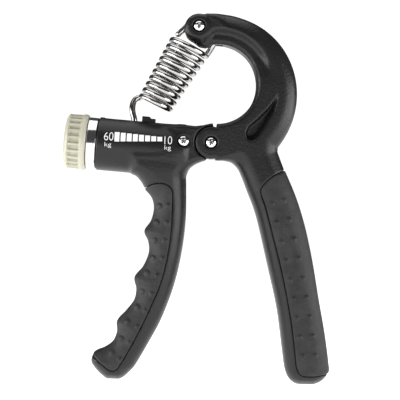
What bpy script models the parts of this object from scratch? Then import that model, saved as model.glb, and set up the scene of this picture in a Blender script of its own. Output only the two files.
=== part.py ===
"""Adjustable hand grip strengthener, modelled as the assembly that it is.

Two levers turn on one pivot. The main lever carries a barrel, in which a dial
turns a lead screw and so moves a carriage. A tension spring runs from that
carriage to a pin in the hook of the other lever. Moving the carriage away from
the pivot gives the spring a longer arm and makes the grip harder to close.

Everything is drawn in millimetres measured from the handle pivot: x to the
right, z up, y from the front of the grip to its back. `at` turns such a place
into world metres. Places in the barrel are given along its axis instead: `s`
from the barrel's mouth towards the pivot and `n` above the axis.
"""

import math

import bmesh
import bpy
import numpy as np
from mathutils import Matrix, Vector

MM = 0.001
FIT = 0.3  # gap that touching solids keep, mm

# Where the pivot stands above the floor and beside the middle of the grip.
PIVOT_X = 4.8
PIVOT_HEIGHT = 103.3

# Barrel
BARREL_MOUTH = (-48.6, -1.5)
BARREL_DROP_DEG = 3.5
BARREL_RADIUS = 11.4
BORE_RADIUS = 9.3
BORE_DEPTH = 32.5
BEARING_SEAT_RADIUS = 6.5
BEARING_SEAT_DEPTH = 39.2
SLOT_HALF_WIDTH = 2.3
SLOT_START = 2.4
SLOT_END = 33.6

# Handle pivot, from the middle outwards
LEVER_HALF_DEPTH = 9.6
TONGUE_HALF_DEPTH = 3.7
CHEEK_START = 4.9
TONGUE_RADIUS = 6.5
KNUCKLE_RADIUS = 6.8
KNUCKLE_GAP_RADIUS = 7.1

# Hook
HOLE_CENTRE = (1.9, 25.1)
HOLE_RADIUS = 17.0
HOOK_RADIUS = 30.3
HOOK_FLARE = 7.0
HOOK_FLARE_START_DEG = 72.0
HOOK_NECK_DEG = -45.0
HOOK_TIP_DEG = 104.0
HOOK_PIN = (-6.5, 49.5)
HOOK_TIP_RADIUS = 6.3
HOOK_TIP_HALF_DEPTH = 6.8
LOOP_SLOT_HALF_WIDTH = 1.9

# Grips
GRIP_THICKNESS = 2.2
GRIP_EDGE_CLEARANCE_DEG = 2.4

# Screws: one pattern in three lengths
HEAD_RADIUS = 2.5
HEAD_HEIGHT = 1.3
COUNTERBORE_RADIUS = 2.9
COUNTERBORE_DEPTH = 1.1
PIVOT_SHANK_RADIUS = 2.0
BUSH_RADIUS = 2.9
SMALL_SHANK_RADIUS = 1.5
BEARING_SCREW = (-11.7, 0.2)

# Spring
WIRE_RADIUS = 1.3
COIL_RADII = (6.5, 7.9)  # at the first and the last turn
COIL_PITCH = 3.05
COIL_TURNS = 9.5
COIL_MIDDLE = (-18.6, 26.7)
COIL_LEAN_DEG = 60.4
COIL_START = -12.3  # first turn, along the coil's axis from COIL_MIDDLE
ANCHOR_S = 17.1
ANCHOR_N = 6.5
ANCHOR_PIN_RADIUS = 1.0

# Lead screw and dial
LEAD_SCREW_RADIUS = 2.0
JOURNAL_RADIUS = 1.6
COLLAR_RADIUS = 11.0
COLLAR_LENGTH = 4.0
KNOB_RADIUS = 12.0
KNOB_LENGTH = 9.6
KNOB_FLUTES = 24

# The edges of both handles, from the barrel or the neck down to the tip.
FINGER_EDGE = [
    (-34.4, -7.0), (-34.0, -13.4), (-31.5, -15.2), (-29.2, -17.8), (-27.6, -20.5),
    (-24.6, -24.0), (-23.5, -28.5), (-24.6, -34.0), (-27.3, -38.5), (-25.5, -43.0),
    (-25.2, -48.0), (-27.6, -54.0), (-31.0, -58.5), (-30.1, -63.5), (-31.0, -68.5),
    (-34.6, -73.5), (-38.0, -77.5), (-37.9, -82.0), (-39.6, -86.5), (-43.0, -89.3),
    (-47.5, -91.5), (-48.9, -95.0), (-47.2, -98.2), (-44.4, -101.2), (-42.6, -102.8),
    (-42.0, -103.3),
]
MAIN_INNER_EDGE = [
    (-2.5, -7.0), (-6.5, -9.2), (-9.0, -11.5), (-10.2, -14.5), (-10.1, -19.0),
    (-9.9, -33.0), (-11.2, -47.0), (-14.1, -61.5), (-19.1, -76.0), (-24.4, -86.6),
    (-29.4, -95.8), (-31.9, -99.1), (-34.6, -101.8), (-36.0, -102.8), (-36.6, -103.3),
]
PALM_EDGE = [
    (27.6, -1.2), (28.6, -3.0), (31.6, -10.4), (36.8, -21.8), (41.0, -34.0),
    (44.7, -48.8), (48.1, -66.0), (51.1, -80.5), (53.3, -94.0), (53.5, -96.5),
    (52.4, -99.2), (50.2, -101.6), (47.8, -102.9), (47.2, -103.3),
]
HOOK_INNER_EDGE = [
    (8.0, -1.2), (7.6, -5.0), (8.8, -8.1), (11.3, -10.1), (13.1, -13.0),
    (16.3, -20.6), (20.6, -31.7), (26.2, -53.3), (30.5, -70.9), (33.3, -88.6),
    (34.6, -96.2), (36.4, -100.3), (39.2, -102.7), (41.4, -103.3),
]

BLACK_PLASTIC = ("black_plastic", (0.02, 0.02, 0.021), 0.42, 0.0)
RUBBER = ("grey_rubber", (0.05, 0.05, 0.052), 0.8, 0.0)
CREAM_PLASTIC = ("cream_plastic", (0.72, 0.70, 0.55), 0.4, 0.0)
CHROME = ("chrome", (0.8, 0.8, 0.8), 0.12, 1.0)
STEEL = ("steel", (0.55, 0.55, 0.56), 0.3, 1.0)
BRASS = ("brass", (0.75, 0.58, 0.28), 0.3, 1.0)
ACETAL = ("white_acetal", (0.8, 0.8, 0.78), 0.5, 0.0)


# ---------------------------------------------------------------- places


def at(x, z, y=0.0):
    """World place, in metres, of a point given in mm from the handle pivot."""
    return Vector(((x + PIVOT_X) * MM, y * MM, (z + PIVOT_HEIGHT) * MM))


def in_barrel(s, n, y=0.0):
    """World place of a point in the barrel: s along its axis, n above it."""
    drop = math.radians(BARREL_DROP_DEG)
    x = BARREL_MOUTH[0] + s * math.cos(drop) + n * math.sin(drop)
    z = BARREL_MOUTH[1] - s * math.sin(drop) + n * math.cos(drop)
    return at(x, z, y)


def on_coil(along, across, y=0.0):
    """World place near the spring: along its axis, across it, and in depth."""
    lean = math.radians(COIL_LEAN_DEG)
    x = COIL_MIDDLE[0] + along * math.cos(lean) + across * math.sin(lean)
    z = COIL_MIDDLE[1] + along * math.sin(lean) - across * math.cos(lean)
    return at(x, z, y)


def barrel_axis():
    return (in_barrel(1, 0) - in_barrel(0, 0)).normalized()


def smooth(points, steps):
    """Catmull-Rom curve through points, with `steps` stretches between each two."""
    rows = [np.array(p, float) for p in points]
    rows = [2 * rows[0] - rows[1]] + rows + [2 * rows[-1] - rows[-2]]
    curve = []
    for a, b, c, d in zip(rows, rows[1:], rows[2:], rows[3:]):
        for k in range(steps):
            t = k / steps
            bend = (2 * a - 5 * b + 4 * c - d) * t**2 + (3 * b - a - 3 * c + d) * t**3
            curve.append(b + ((c - a) * t + bend) / 2)
    return curve + [rows[-2]]


def edge_at(edge, z):
    """How far right an edge of a handle is at height z."""
    curve = np.array(sorted(smooth(edge, 8), key=lambda p: p[1]))
    return float(np.interp(z, curve[:, 1], curve[:, 0]))


# ---------------------------------------------------------------- solids


def finish_of(look):
    """The material with this name, colour, roughness and metallic value."""
    name, colour, roughness, metallic = look
    found = bpy.data.materials.get(name)
    if found:
        return found
    made = bpy.data.materials.new(name)
    made.use_nodes = True
    made.diffuse_color = (*colour, 1.0)
    shader = made.node_tree.nodes["Principled BSDF"]
    shader.inputs["Base Color"].default_value = (*colour, 1.0)
    shader.inputs["Roughness"].default_value = roughness
    shader.inputs["Metallic"].default_value = metallic
    return made


def solid(name, mesh_builder, look, origin, parent):
    """An object at `origin` from a bmesh in world metres, under its joint's empty."""
    bmesh.ops.recalc_face_normals(mesh_builder, faces=mesh_builder.faces)
    bmesh.ops.translate(mesh_builder, verts=mesh_builder.verts, vec=-origin)
    mesh = bpy.data.meshes.new(name)
    mesh_builder.to_mesh(mesh)
    mesh_builder.free()
    mesh.shade_smooth()
    mesh.set_sharp_from_angle(angle=math.radians(35))
    made = bpy.data.objects.new(name, mesh)
    bpy.context.scene.collection.objects.link(made)
    made.location = origin
    if look:
        mesh.materials.append(finish_of(look))
    if parent:
        made.location = origin - parent.location
        made.parent = parent
    return made


def loft(rings):
    """A bmesh through closed rings of equal length, with its two ends filled."""
    build = bmesh.new()
    loops = [[build.verts.new(p) for p in ring] for ring in rings]
    count = len(rings[0])
    for low, high in zip(loops, loops[1:]):
        for k in range(count):
            following = (k + 1) % count
            build.faces.new((low[k], low[following], high[following], high[k]))
    build.faces.new(loops[0])
    build.faces.new(loops[-1])
    return build


def turned(profile, start, axis, segments=24):
    """A bmesh from a closed profile of (along, radius) pairs turned about an axis.

    A radius of nought is a pole on the axis.
    """
    side = axis.cross(Vector((0, 1, 0)))
    side = (side if side.length > 0.1 else Vector((1, 0, 0))).normalized()
    other = axis.cross(side)
    build = bmesh.new()
    rows = []
    for along, radius in profile:
        middle = start + axis * along * MM
        if radius == 0:
            rows.append([build.verts.new(middle)])
            continue
        angles = [2 * math.pi * k / segments for k in range(segments)]
        rows.append([
            build.verts.new(middle + (side * math.cos(a) + other * math.sin(a)) * radius * MM)
            for a in angles
        ])
    for row, next_row in zip(rows, rows[1:] + rows[:1]):
        if len(row) == 1 and len(next_row) == 1:
            continue
        for k in range(segments):
            corners = [row[k % len(row)], row[(k + 1) % len(row)]]
            corners += [next_row[(k + 1) % len(next_row)], next_row[k % len(next_row)]]
            build.faces.new(list(dict.fromkeys(corners)))
    return build


def rod(radius, start, end, segments=24):
    """A plain cylinder between two world places."""
    length = (end - start).length / MM
    profile = [(0, 0), (0, radius), (length, radius), (length, 0)]
    return turned(profile, start, (end - start).normalized(), segments)


def ring_part(inner, outer, start, end, segments=24):
    """A plain sleeve between two world places."""
    length = (end - start).length / MM
    profile = [(0, inner), (0, outer), (length, outer), (length, inner)]
    return turned(profile, start, (end - start).normalized(), segments)


def wire(path, radius, sides=8):
    """A round wire along a path of world places."""
    rings = []
    normal = Vector((0, 1, 0))
    for k, point in enumerate(path):
        ahead = path[min(k + 1, len(path) - 1)] - path[max(k - 1, 0)]
        ahead.normalize()
        normal = (normal - ahead * normal.dot(ahead)).normalized()
        across = ahead.cross(normal)
        angles = [2 * math.pi * side / sides for side in range(sides)]
        rings.append([
            point + (normal * math.cos(a) + across * math.sin(a)) * radius * MM
            for a in angles
        ])
    return loft(rings)


def plate(outline, y_low, y_high):
    """A flat plate from an outline of (x, z) places, between two depths."""
    return loft([[at(x, z, y) for x, z in outline] for y in (y_low, y_high)])


def barrel_block(s_low, s_high, n_low, n_high, half_width):
    """A box that lies along the barrel's axis."""
    corners = [(n_low, -half_width), (n_high, -half_width), (n_high, half_width), (n_low, half_width)]
    return loft([[in_barrel(s, n, y) for n, y in corners] for s in (s_low, s_high)])


def combine(target, tool_mesh, operation):
    """Cuts or adds a bmesh by a Boolean, and keeps it as a hidden guide."""
    tool = solid(f"{target.name}.tool", tool_mesh, None, Vector(), None)
    tool.hide_render = True
    tool.display_type = "WIRE"
    step = target.modifiers.new(operation.lower(), "BOOLEAN")
    step.solver = "EXACT"
    step.operation = operation
    step.object = tool


def cut(target, tool_mesh):
    combine(target, tool_mesh, "DIFFERENCE")


def add(target, tool_mesh):
    combine(target, tool_mesh, "UNION")


def empty(name, place, parent=None):
    made = bpy.data.objects.new(name, None)
    bpy.context.scene.collection.objects.link(made)
    made.empty_display_size = 0.01
    made.location = place - (parent.location if parent else Vector())
    made.parent = parent
    return made


# ---------------------------------------------------------------- levers


class Handle:
    """A handle with an oval section, drawn as level slices between two edges."""

    FULL_ARC_POINTS = 10
    BACK_ARC_POINTS = 6

    def __init__(self, outer_edge, inner_edge, grip_share, grip_top, grip_bottom):
        self.outer_edge = outer_edge
        self.inner_edge = inner_edge
        self.grip_angle = math.acos(1 - 2 * grip_share)
        self.grip_top = grip_top
        self.grip_bottom = grip_bottom

    @staticmethod
    def half_depth(z):
        return float(np.interp(z, [-103.3, -102.4, -100.5, -97, -90, -50, -20],
                               [5.0, 6.6, 7.8, 8.6, 9.3, 9.9, 10.0]))

    def point(self, z, angle, inset):
        outer = edge_at(self.outer_edge, z)
        inner = edge_at(self.inner_edge, z)
        reach = (outer - inner) / 2
        reach -= math.copysign(inset, reach)
        depth = self.half_depth(z) - inset
        swell = 2 / 2.5
        c, s = math.cos(angle), math.sin(angle)
        x = (outer + inner) / 2 + reach * math.copysign(abs(c) ** swell, c)
        return at(x, z, depth * math.copysign(abs(s) ** swell, s))

    def arc(self, z, half_angle, inset, count):
        return [self.point(z, -half_angle + 2 * half_angle * k / (count - 1), inset)
                for k in range(count)]

    def core(self, heights):
        """The plastic handle, sunk where the rubber grip lies on it."""
        step = math.radians(GRIP_EDGE_CLEARANCE_DEG)
        back_half = math.pi - self.grip_angle - step
        rings = []
        for z in heights:
            covered = self.grip_bottom <= z <= self.grip_top
            inset = GRIP_THICKNESS + FIT if covered else 0.0
            ring = self.arc(z, self.grip_angle, inset, self.FULL_ARC_POINTS)
            for k in range(self.BACK_ARC_POINTS):
                turn = -back_half + 2 * back_half * k / (self.BACK_ARC_POINTS - 1)
                ring.append(self.point(z, math.pi + turn, 0.0))
            rings.append(ring)
        return loft(rings)

    def grip(self, heights):
        """The rubber shell on the outer side, open towards the lever."""
        half = self.grip_angle - math.radians(GRIP_EDGE_CLEARANCE_DEG)
        rings = []
        for z in heights:
            outside = self.arc(z, half, 0.0, self.FULL_ARC_POINTS)
            inside = self.arc(z, half, GRIP_THICKNESS, self.FULL_ARC_POINTS)
            rings.append(outside + inside[::-1])
        return loft(rings)

    def heights(self, top, spacing):
        """Slices from the top down, closer together round the tip."""
        count = round((top + 92) / spacing)
        even = [top - k * (top + 92) / count for k in range(count)]
        return even + [-92.0, -94.5, -97.0, -99.0, -100.7, -102.1, -103.0, -103.3]

    def core_heights(self, top, spacing):
        ends = [self.grip_top + FIT, self.grip_top, self.grip_bottom, self.grip_bottom - FIT]
        plain = [z for z in self.heights(top, spacing) if all(abs(z - e) > 0.8 for e in ends)]
        return sorted(plain + ends, reverse=True)

    def grip_heights(self, spacing):
        top, bottom = self.grip_top - FIT, self.grip_bottom + FIT
        plain = [z for z in self.heights(top, spacing) if bottom + 0.8 < z < top - 0.8]
        return [top] + plain + [bottom]


FINGER_HANDLE = Handle(FINGER_EDGE, MAIN_INNER_EDGE, 0.62, -20.0, -95.5)
PALM_HANDLE = Handle(PALM_EDGE, HOOK_INNER_EDGE, 0.74, -15.5, -97.5)


def pin_hole(x, z, shank, half_depth):
    """A cutter for a through hole along y with a counterbore at either end."""
    floor, clear = half_depth - COUNTERBORE_DEPTH, half_depth + 3
    hole = shank + FIT
    profile = [
        (-clear, 0), (-clear, COUNTERBORE_RADIUS), (-floor, COUNTERBORE_RADIUS), (-floor, hole),
        (floor, hole), (floor, COUNTERBORE_RADIUS), (clear, COUNTERBORE_RADIUS), (clear, 0),
    ]
    return turned(profile, at(x, z), Vector((0, 1, 0)), 20)


def make_main_lever(parent):
    """Barrel, head with the pivot tongue, and the finger handle in one moulding."""
    mesh = rod(BARREL_RADIUS, in_barrel(0, 0), in_barrel(37, 0), 40)
    lever = solid("main_lever", mesh, BLACK_PLASTIC, in_barrel(0, 0), parent)
    head = [
        (-26.0, 4.0), (-14.0, 7.6), (-6.8, 7.3), (-1.1, 8.1), (0.2, 8.3), (0.9, 7.0),
        (0.9, -6.3), (-1.75, -6.75), (-1.9, -7.4), (-6.5, -9.2), (-12.0, -12.0), (-26.0, -11.0),
    ]
    add(lever, plate(head, -LEVER_HALF_DEPTH, LEVER_HALF_DEPTH))
    add(lever, FINGER_HANDLE.core(FINGER_HANDLE.core_heights(-7.0, 3.6)))
    add(lever, rod(TONGUE_RADIUS, at(0, 0, -9), at(0, 0, 9), 32))
    for side in (-1, 1):
        start, end = at(0, 0, side * TONGUE_HALF_DEPTH), at(0, 0, side * 14)
        cut(lever, rod(KNUCKLE_GAP_RADIUS, start, end, 32))
    cut(lever, rod(BUSH_RADIUS + FIT, at(0, 0, -5), at(0, 0, 5), 20))
    bore = [
        (-1, 0), (-1, BORE_RADIUS), (BORE_DEPTH, BORE_RADIUS), (BORE_DEPTH, BEARING_SEAT_RADIUS),
        (BEARING_SEAT_DEPTH, BEARING_SEAT_RADIUS), (BEARING_SEAT_DEPTH, 0),
    ]
    cut(lever, turned(bore, in_barrel(0, 0), barrel_axis(), 32))
    cut(lever, barrel_block(SLOT_START, SLOT_END, 6, 14, SLOT_HALF_WIDTH))
    cut(lever, pin_hole(*BEARING_SCREW, SMALL_SHANK_RADIUS, LEVER_HALF_DEPTH))


def hook_ring(angle_deg, points=16):
    """One slice of the hook, square to its curve at this angle about the hole."""
    if angle_deg > HOOK_NECK_DEG:
        share = max(0.0, HOOK_FLARE_START_DEG - angle_deg)
        share /= HOOK_FLARE_START_DEG - HOOK_NECK_DEG
        outer = HOOK_RADIUS + HOOK_FLARE * share**1.3
    else:
        outer = float(np.interp(angle_deg, [-89, -78, -60, -45], [32.6, 33.4, 36.5, 37.5]))
    depth = float(np.interp(angle_deg, [-60, 0, 90], [LEVER_HALF_DEPTH, 9.0, HOOK_TIP_HALF_DEPTH]))
    angle = math.radians(angle_deg)
    middle, half = (outer + HOLE_RADIUS) / 2, (outer - HOLE_RADIUS) / 2
    swell = 2 / 3.2
    ring = []
    for k in range(points):
        turn = 2 * math.pi * (k + 0.5) / points
        c, s = math.cos(turn), math.sin(turn)
        radius = middle + half * math.copysign(abs(c) ** swell, c)
        x = HOLE_CENTRE[0] + radius * math.cos(angle)
        z = HOLE_CENTRE[1] + radius * math.sin(angle)
        ring.append(at(x, z, depth * math.copysign(abs(s) ** swell, s)))
    return ring


def make_hook_lever(parent):
    """Knuckle cheeks, hook and palm handle in one moulding."""
    angles = [-89, -83, -76, -68, -60, -52, -45]
    angles += [-45 + (HOOK_TIP_DEG + 45) * k / 20 for k in range(1, 21)]
    lever = solid("hook_lever", loft([hook_ring(a) for a in angles]), BLACK_PLASTIC, at(0, 0), parent)
    add(lever, PALM_HANDLE.core(PALM_HANDLE.core_heights(-1.2, 4.6)))
    knuckle = [(6.0, 7.0), (1.5, 6.6), (1.5, -6.7), (6.0, -7.2)]
    add(lever, plate(knuckle, -LEVER_HALF_DEPTH, LEVER_HALF_DEPTH))
    depth = LEVER_HALF_DEPTH
    add(lever, rod(KNUCKLE_RADIUS, at(0, 0, -depth), at(0, 0, depth), 32))
    tip = HOOK_TIP_HALF_DEPTH
    add(lever, rod(HOOK_TIP_RADIUS, at(*HOOK_PIN, -tip), at(*HOOK_PIN, tip), 28))
    cut(lever, rod(KNUCKLE_GAP_RADIUS, at(0, 0, -CHEEK_START), at(0, 0, CHEEK_START), 32))
    slot = [(-16.0, 36.0), (3.6, 36.0), (4.0, 48.0), (1.0, 58.0), (-16.0, 58.0)]
    cut(lever, plate(slot, -LOOP_SLOT_HALF_WIDTH, LOOP_SLOT_HALF_WIDTH))
    cut(lever, pin_hole(0, 0, PIVOT_SHANK_RADIUS, LEVER_HALF_DEPTH))
    cut(lever, pin_hole(*HOOK_PIN, SMALL_SHANK_RADIUS, HOOK_TIP_HALF_DEPTH))


def make_grips(main_parent, hook_parent):
    mesh = FINGER_HANDLE.grip(FINGER_HANDLE.grip_heights(3.6))
    solid("finger_grip", mesh, RUBBER, at(-24, -60), main_parent)
    mesh = PALM_HANDLE.grip(PALM_HANDLE.grip_heights(6.0))
    solid("palm_grip", mesh, RUBBER, at(40, -60), hook_parent)


# ---------------------------------------------------------------- fasteners


def make_screw_pair(name, x, z, shank, half_depth, parent):
    """A round-headed screw from the front and the sleeve nut that meets it."""
    floor = half_depth - COUNTERBORE_DEPTH + FIT
    head = [(0, 0), (0, HEAD_RADIUS - 0.9), (0.5, HEAD_RADIUS), (HEAD_HEIGHT, HEAD_RADIUS)]
    shank_end = floor + half_depth - 4.5
    profile = head + [(HEAD_HEIGHT, shank), (HEAD_HEIGHT + shank_end, shank)]
    profile += [(HEAD_HEIGHT + shank_end, 0)]
    start = at(x, z, -floor - HEAD_HEIGHT)
    screw = solid(f"{name}_screw", turned(profile, start, Vector((0, 1, 0)), 20), CHROME, start, parent)
    for turn in (0, 90):
        recess = plate([(-1.3, -0.32), (1.3, -0.32), (1.3, 0.32), (-1.3, 0.32)], -1, 1)
        spin = Matrix.Rotation(math.radians(turn + 25), 4, "Y")
        move = Matrix.Translation(start) @ spin @ Matrix.Translation(-at(0, 0))
        bmesh.ops.transform(recess, matrix=move, verts=recess.verts)
        cut(screw, recess)
    profile = head + [(HEAD_HEIGHT, shank), (3.6, shank), (3.6, 0)]
    start = at(x, z, floor + HEAD_HEIGHT)
    solid(f"{name}_nut", turned(profile, start, Vector((0, -1, 0)), 20), STEEL, start, parent)


def make_pivot_fittings(parent):
    make_screw_pair("pivot", 0, 0, PIVOT_SHANK_RADIUS, LEVER_HALF_DEPTH, parent)
    start, end = at(0, 0, -TONGUE_HALF_DEPTH), at(0, 0, TONGUE_HALF_DEPTH)
    low = PIVOT_SHANK_RADIUS + FIT
    solid("pivot_bush", ring_part(low, BUSH_RADIUS, start, end, 20), BRASS, at(0, 0), parent)
    for name, side in (("front", -1), ("back", 1)):
        start = at(0, 0, side * (TONGUE_HALF_DEPTH + FIT))
        end = at(0, 0, side * (CHEEK_START - FIT))
        mesh = ring_part(low, 5.5, start, end, 24)
        solid(f"thrust_washer_{name}", mesh, ACETAL, at(0, 0), parent)


# ---------------------------------------------------------------- barrel


def make_lead_screw(parent):
    """Journal at the inner end, threaded middle, and a flatted stub in the knob."""
    profile = [
        (-11.0, 0), (-11.0, JOURNAL_RADIUS), (-0.2, JOURNAL_RADIUS), (-0.2, LEAD_SCREW_RADIUS),
        (32.2, LEAD_SCREW_RADIUS), (32.2, JOURNAL_RADIUS), (38.0, JOURNAL_RADIUS), (38.0, 0),
    ]
    mesh = turned(profile, in_barrel(0, 0), barrel_axis(), 16)
    solid("lead_screw", mesh, STEEL, in_barrel(0, 0), parent)


def make_barrel_fittings(parent):
    """What turns nothing: the mouth bush, the inner bearing and its screws."""
    mesh = ring_part(LEAD_SCREW_RADIUS + FIT, BORE_RADIUS - FIT, in_barrel(0.3, 0), in_barrel(2.4, 0), 28)
    solid("barrel_bush", mesh, ACETAL, in_barrel(0, 0), parent)
    start, end = in_barrel(32.8, 0), in_barrel(38.9, 0)
    mesh = rod(BEARING_SEAT_RADIUS - FIT, start, end, 28)
    block = solid("bearing_block", mesh, ACETAL, start, parent)
    cut(block, rod(JOURNAL_RADIUS + FIT, in_barrel(32, 0), in_barrel(38.2, 0), 16))
    hole = SMALL_SHANK_RADIUS + 0.2
    cut(block, rod(hole, at(*BEARING_SCREW, -12), at(*BEARING_SCREW, 12), 16))
    make_screw_pair("bearing", *BEARING_SCREW, SMALL_SHANK_RADIUS, LEVER_HALF_DEPTH, parent)


def make_carriage(parent):
    """The slider with its pointer, the brass nut in it and the spring's anchor pin."""
    low, high = 13.0, 25.3
    mesh = rod(BORE_RADIUS - FIT, in_barrel(low, 0), in_barrel(high, 0), 28)
    carriage = solid("carriage", mesh, BLACK_PLASTIC, in_barrel(low, 0), parent)
    add(carriage, barrel_block(18.0, 23.8, 5.0, 13.4, SLOT_HALF_WIDTH - FIT))
    cut(carriage, rod(LEAD_SCREW_RADIUS + FIT, in_barrel(low - 1, 0), in_barrel(high + 1, 0), 20))
    hook_room = WIRE_RADIUS + 0.45
    cut(carriage, barrel_block(low - 1, 21.3, 2.0, 9.4, hook_room))
    cut(carriage, barrel_block(low - 1, 17.7, 2.0, 14.0, hook_room))
    cut(carriage, barrel_block(21.7, high + 1, -4.3, 4.3, 4.3))
    pin_start, pin_end = in_barrel(ANCHOR_S, ANCHOR_N, -4.6), in_barrel(ANCHOR_S, ANCHOR_N, 4.6)
    hole_start, hole_end = in_barrel(ANCHOR_S, ANCHOR_N, -9), in_barrel(ANCHOR_S, ANCHOR_N, 9)
    cut(carriage, rod(ANCHOR_PIN_RADIUS + 0.2, hole_start, hole_end, 16))
    mesh = rod(ANCHOR_PIN_RADIUS, pin_start, pin_end, 16)
    solid("spring_anchor_pin", mesh, STEEL, in_barrel(ANCHOR_S, ANCHOR_N), parent)
    mesh = barrel_block(22.0, 25.0, -4.0, 4.0, 4.0)
    nut = solid("carriage_nut", mesh, BRASS, in_barrel(22, 0), parent)
    cut(nut, rod(LEAD_SCREW_RADIUS + FIT, in_barrel(21, 0), in_barrel(26, 0), 20))


def make_dial(parent):
    """Chrome collar, fluted knob, the screw that holds it and the cap over that."""
    axis = barrel_axis()
    collar_start = -FIT - COLLAR_LENGTH
    mesh = ring_part(LEAD_SCREW_RADIUS + FIT, COLLAR_RADIUS, in_barrel(collar_start, 0),
                     in_barrel(-FIT, 0), 32)
    solid("dial_collar", mesh, CHROME, in_barrel(0, 0), parent)
    face = collar_start - FIT
    back = face - KNOB_LENGTH
    profile = [
        (face, JOURNAL_RADIUS + FIT), (face, KNOB_RADIUS - 0.3), (face - 0.5, KNOB_RADIUS),
        (face - 1.9, KNOB_RADIUS), (back + 2.4, KNOB_RADIUS - 0.2), (back + 0.9, KNOB_RADIUS - 1.2),
        (back, KNOB_RADIUS - 3.4), (back, 6.3), (back + 1.8, 6.3), (back + 1.8, 3.3),
        (back + 3.2, 3.3), (back + 3.2, JOURNAL_RADIUS + FIT),
    ]
    mesh = turned(profile, in_barrel(0, 0), axis, 36)
    knob = solid("dial_knob", mesh, CREAM_PLASTIC, in_barrel(face, 0), parent)
    flutes = turned([(face - 2.4, KNOB_RADIUS - 0.7), (face - 2.4, KNOB_RADIUS + 2),
                     (back + 2.6, KNOB_RADIUS + 2), (back + 2.6, KNOB_RADIUS - 0.7)],
                    in_barrel(0, 0), axis, KNOB_FLUTES)
    cut(knob, flutes)
    start = in_barrel(back + 3.2 - FIT, 0)
    mesh = turned([(0, 0), (0, 2.9), (0.6, 2.9), (0.9, 2.0), (0.9, 0)], start, -axis, 20)
    solid("dial_screw", mesh, STEEL, start, parent)
    start = in_barrel(back + 1.8 - FIT, 0)
    mesh = turned([(0, 0), (0, 6.0), (1.2, 6.0), (1.9, 5.2), (2.1, 0)], start, -axis, 28)
    solid("dial_cap", mesh, CREAM_PLASTIC, start, parent)


# ---------------------------------------------------------------- spring


def coil_path():
    """Turns that rise from the left, past the front, and widen towards the top."""
    steps = 12
    count = round(COIL_TURNS * steps)
    path = []
    for k in range(count + 1):
        turn = 2 * math.pi * k / steps
        radius = COIL_RADII[0] + (COIL_RADII[1] - COIL_RADII[0]) * k / count
        along = COIL_START + COIL_PITCH * k / steps
        path.append(on_coil(along, -radius * math.cos(turn), -radius * math.sin(turn)))
    return path


def make_spring(parent):
    solid("spring_coil", wire(coil_path(), WIRE_RADIUS, 6), CHROME, on_coil(0, 0), parent)

    top, radius = COIL_START + COIL_PITCH * COIL_TURNS, COIL_RADII[1]
    rise = [
        (top + 0.1, radius, 0.4), (top + 0.6, radius + 0.1, 1.3), (top + 2.0, radius + 0.3, 1.4),
        (top + 4.6, radius + 0.4, 0.4), (top + 6.6, radius + 0.1, 0),
    ]
    over = [
        (26.3, 6.1, 0), (28.5, 3.4, 0), (29.8, 0.6, 0), (29.4, -2.3, 0), (26.4, -4.8, 0),
        (22.9, -5.7, 0), (20.2, -6.5, 0.2), (18.7, -7.0, 0.3),
    ]
    path = [on_coil(*p) for p in smooth(rise + over, 3)]
    solid("spring_loop", wire(path, WIRE_RADIUS), CHROME, at(*HOOK_PIN), parent)

    bottom, radius = COIL_START, COIL_RADII[0]
    bend = WIRE_RADIUS + ANCHOR_PIN_RADIUS + 0.25
    left = [on_coil(bottom - 0.05, -radius, 0.5), on_coil(bottom - 0.5, -radius - 0.2, 1.7)]
    left += [at(-32.6, 18.4, 2.1), at(-33.8, 16.9, 1.8), at(-34.3, 14.8, 0.9), at(-34.0, 12.4, 0.2)]
    drop = [in_barrel(ANCHOR_S - bend, ANCHOR_N + h) for h in (4.0, 1.5)]
    turns = [math.radians(180 + 30 * k) for k in range(6)]
    under = [in_barrel(ANCHOR_S + bend * math.cos(a), ANCHOR_N + bend * math.sin(a)) for a in turns]
    path = [Vector(p) for p in smooth([tuple(p) for p in left + drop + under], 2)]
    solid("spring_hook", wire(path, WIRE_RADIUS), CHROME, on_coil(COIL_START, 0), parent)


def make_hook_pin(lever_parent, bush_parent):
    make_screw_pair("hook_pin", *HOOK_PIN, SMALL_SHANK_RADIUS, HOOK_TIP_HALF_DEPTH, lever_parent)
    half = LOOP_SLOT_HALF_WIDTH - FIT
    mesh = ring_part(SMALL_SHANK_RADIUS + FIT, 2.2, at(*HOOK_PIN, -half), at(*HOOK_PIN, half), 20)
    solid("spring_bush", mesh, STEEL, at(*HOOK_PIN), bush_parent)


def main():
    for old in list(bpy.data.objects):
        bpy.data.objects.remove(old, do_unlink=True)
    main_frame = empty("main_frame", Vector())
    hook_frame = empty("handle_hinge", at(0, 0))
    dial_frame = empty("dial_spin", in_barrel(0, 0))
    carriage_frame = empty("carriage_slide", in_barrel(ANCHOR_S, 0))
    spring_frame = empty("spring_lean", at(*HOOK_PIN))

    make_main_lever(main_frame)
    make_hook_lever(hook_frame)
    make_grips(main_frame, hook_frame)
    make_pivot_fittings(hook_frame)
    make_hook_pin(hook_frame, spring_frame)
    make_barrel_fittings(main_frame)
    make_lead_screw(dial_frame)
    make_dial(dial_frame)
    make_carriage(carriage_frame)
    make_spring(spring_frame)


main()
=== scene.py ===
"""Looks of the adjustable hand grip strengthener, built round its CAD frame.

Places are in millimetres from the handle pivot, as in part.py: x to the right,
z up and y from front to back, or along the barrel as s from its mouth and n
above its axis. `place` turns them into metres. The moulded pieces are drawn as
distance fields, which give them their rounded edges, and are then meshed.
"""

import math
from itertools import product

import bmesh
import bpy
import numpy as np
from mathutils import Matrix, Vector
from mathutils.bvhtree import BVHTree


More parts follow.
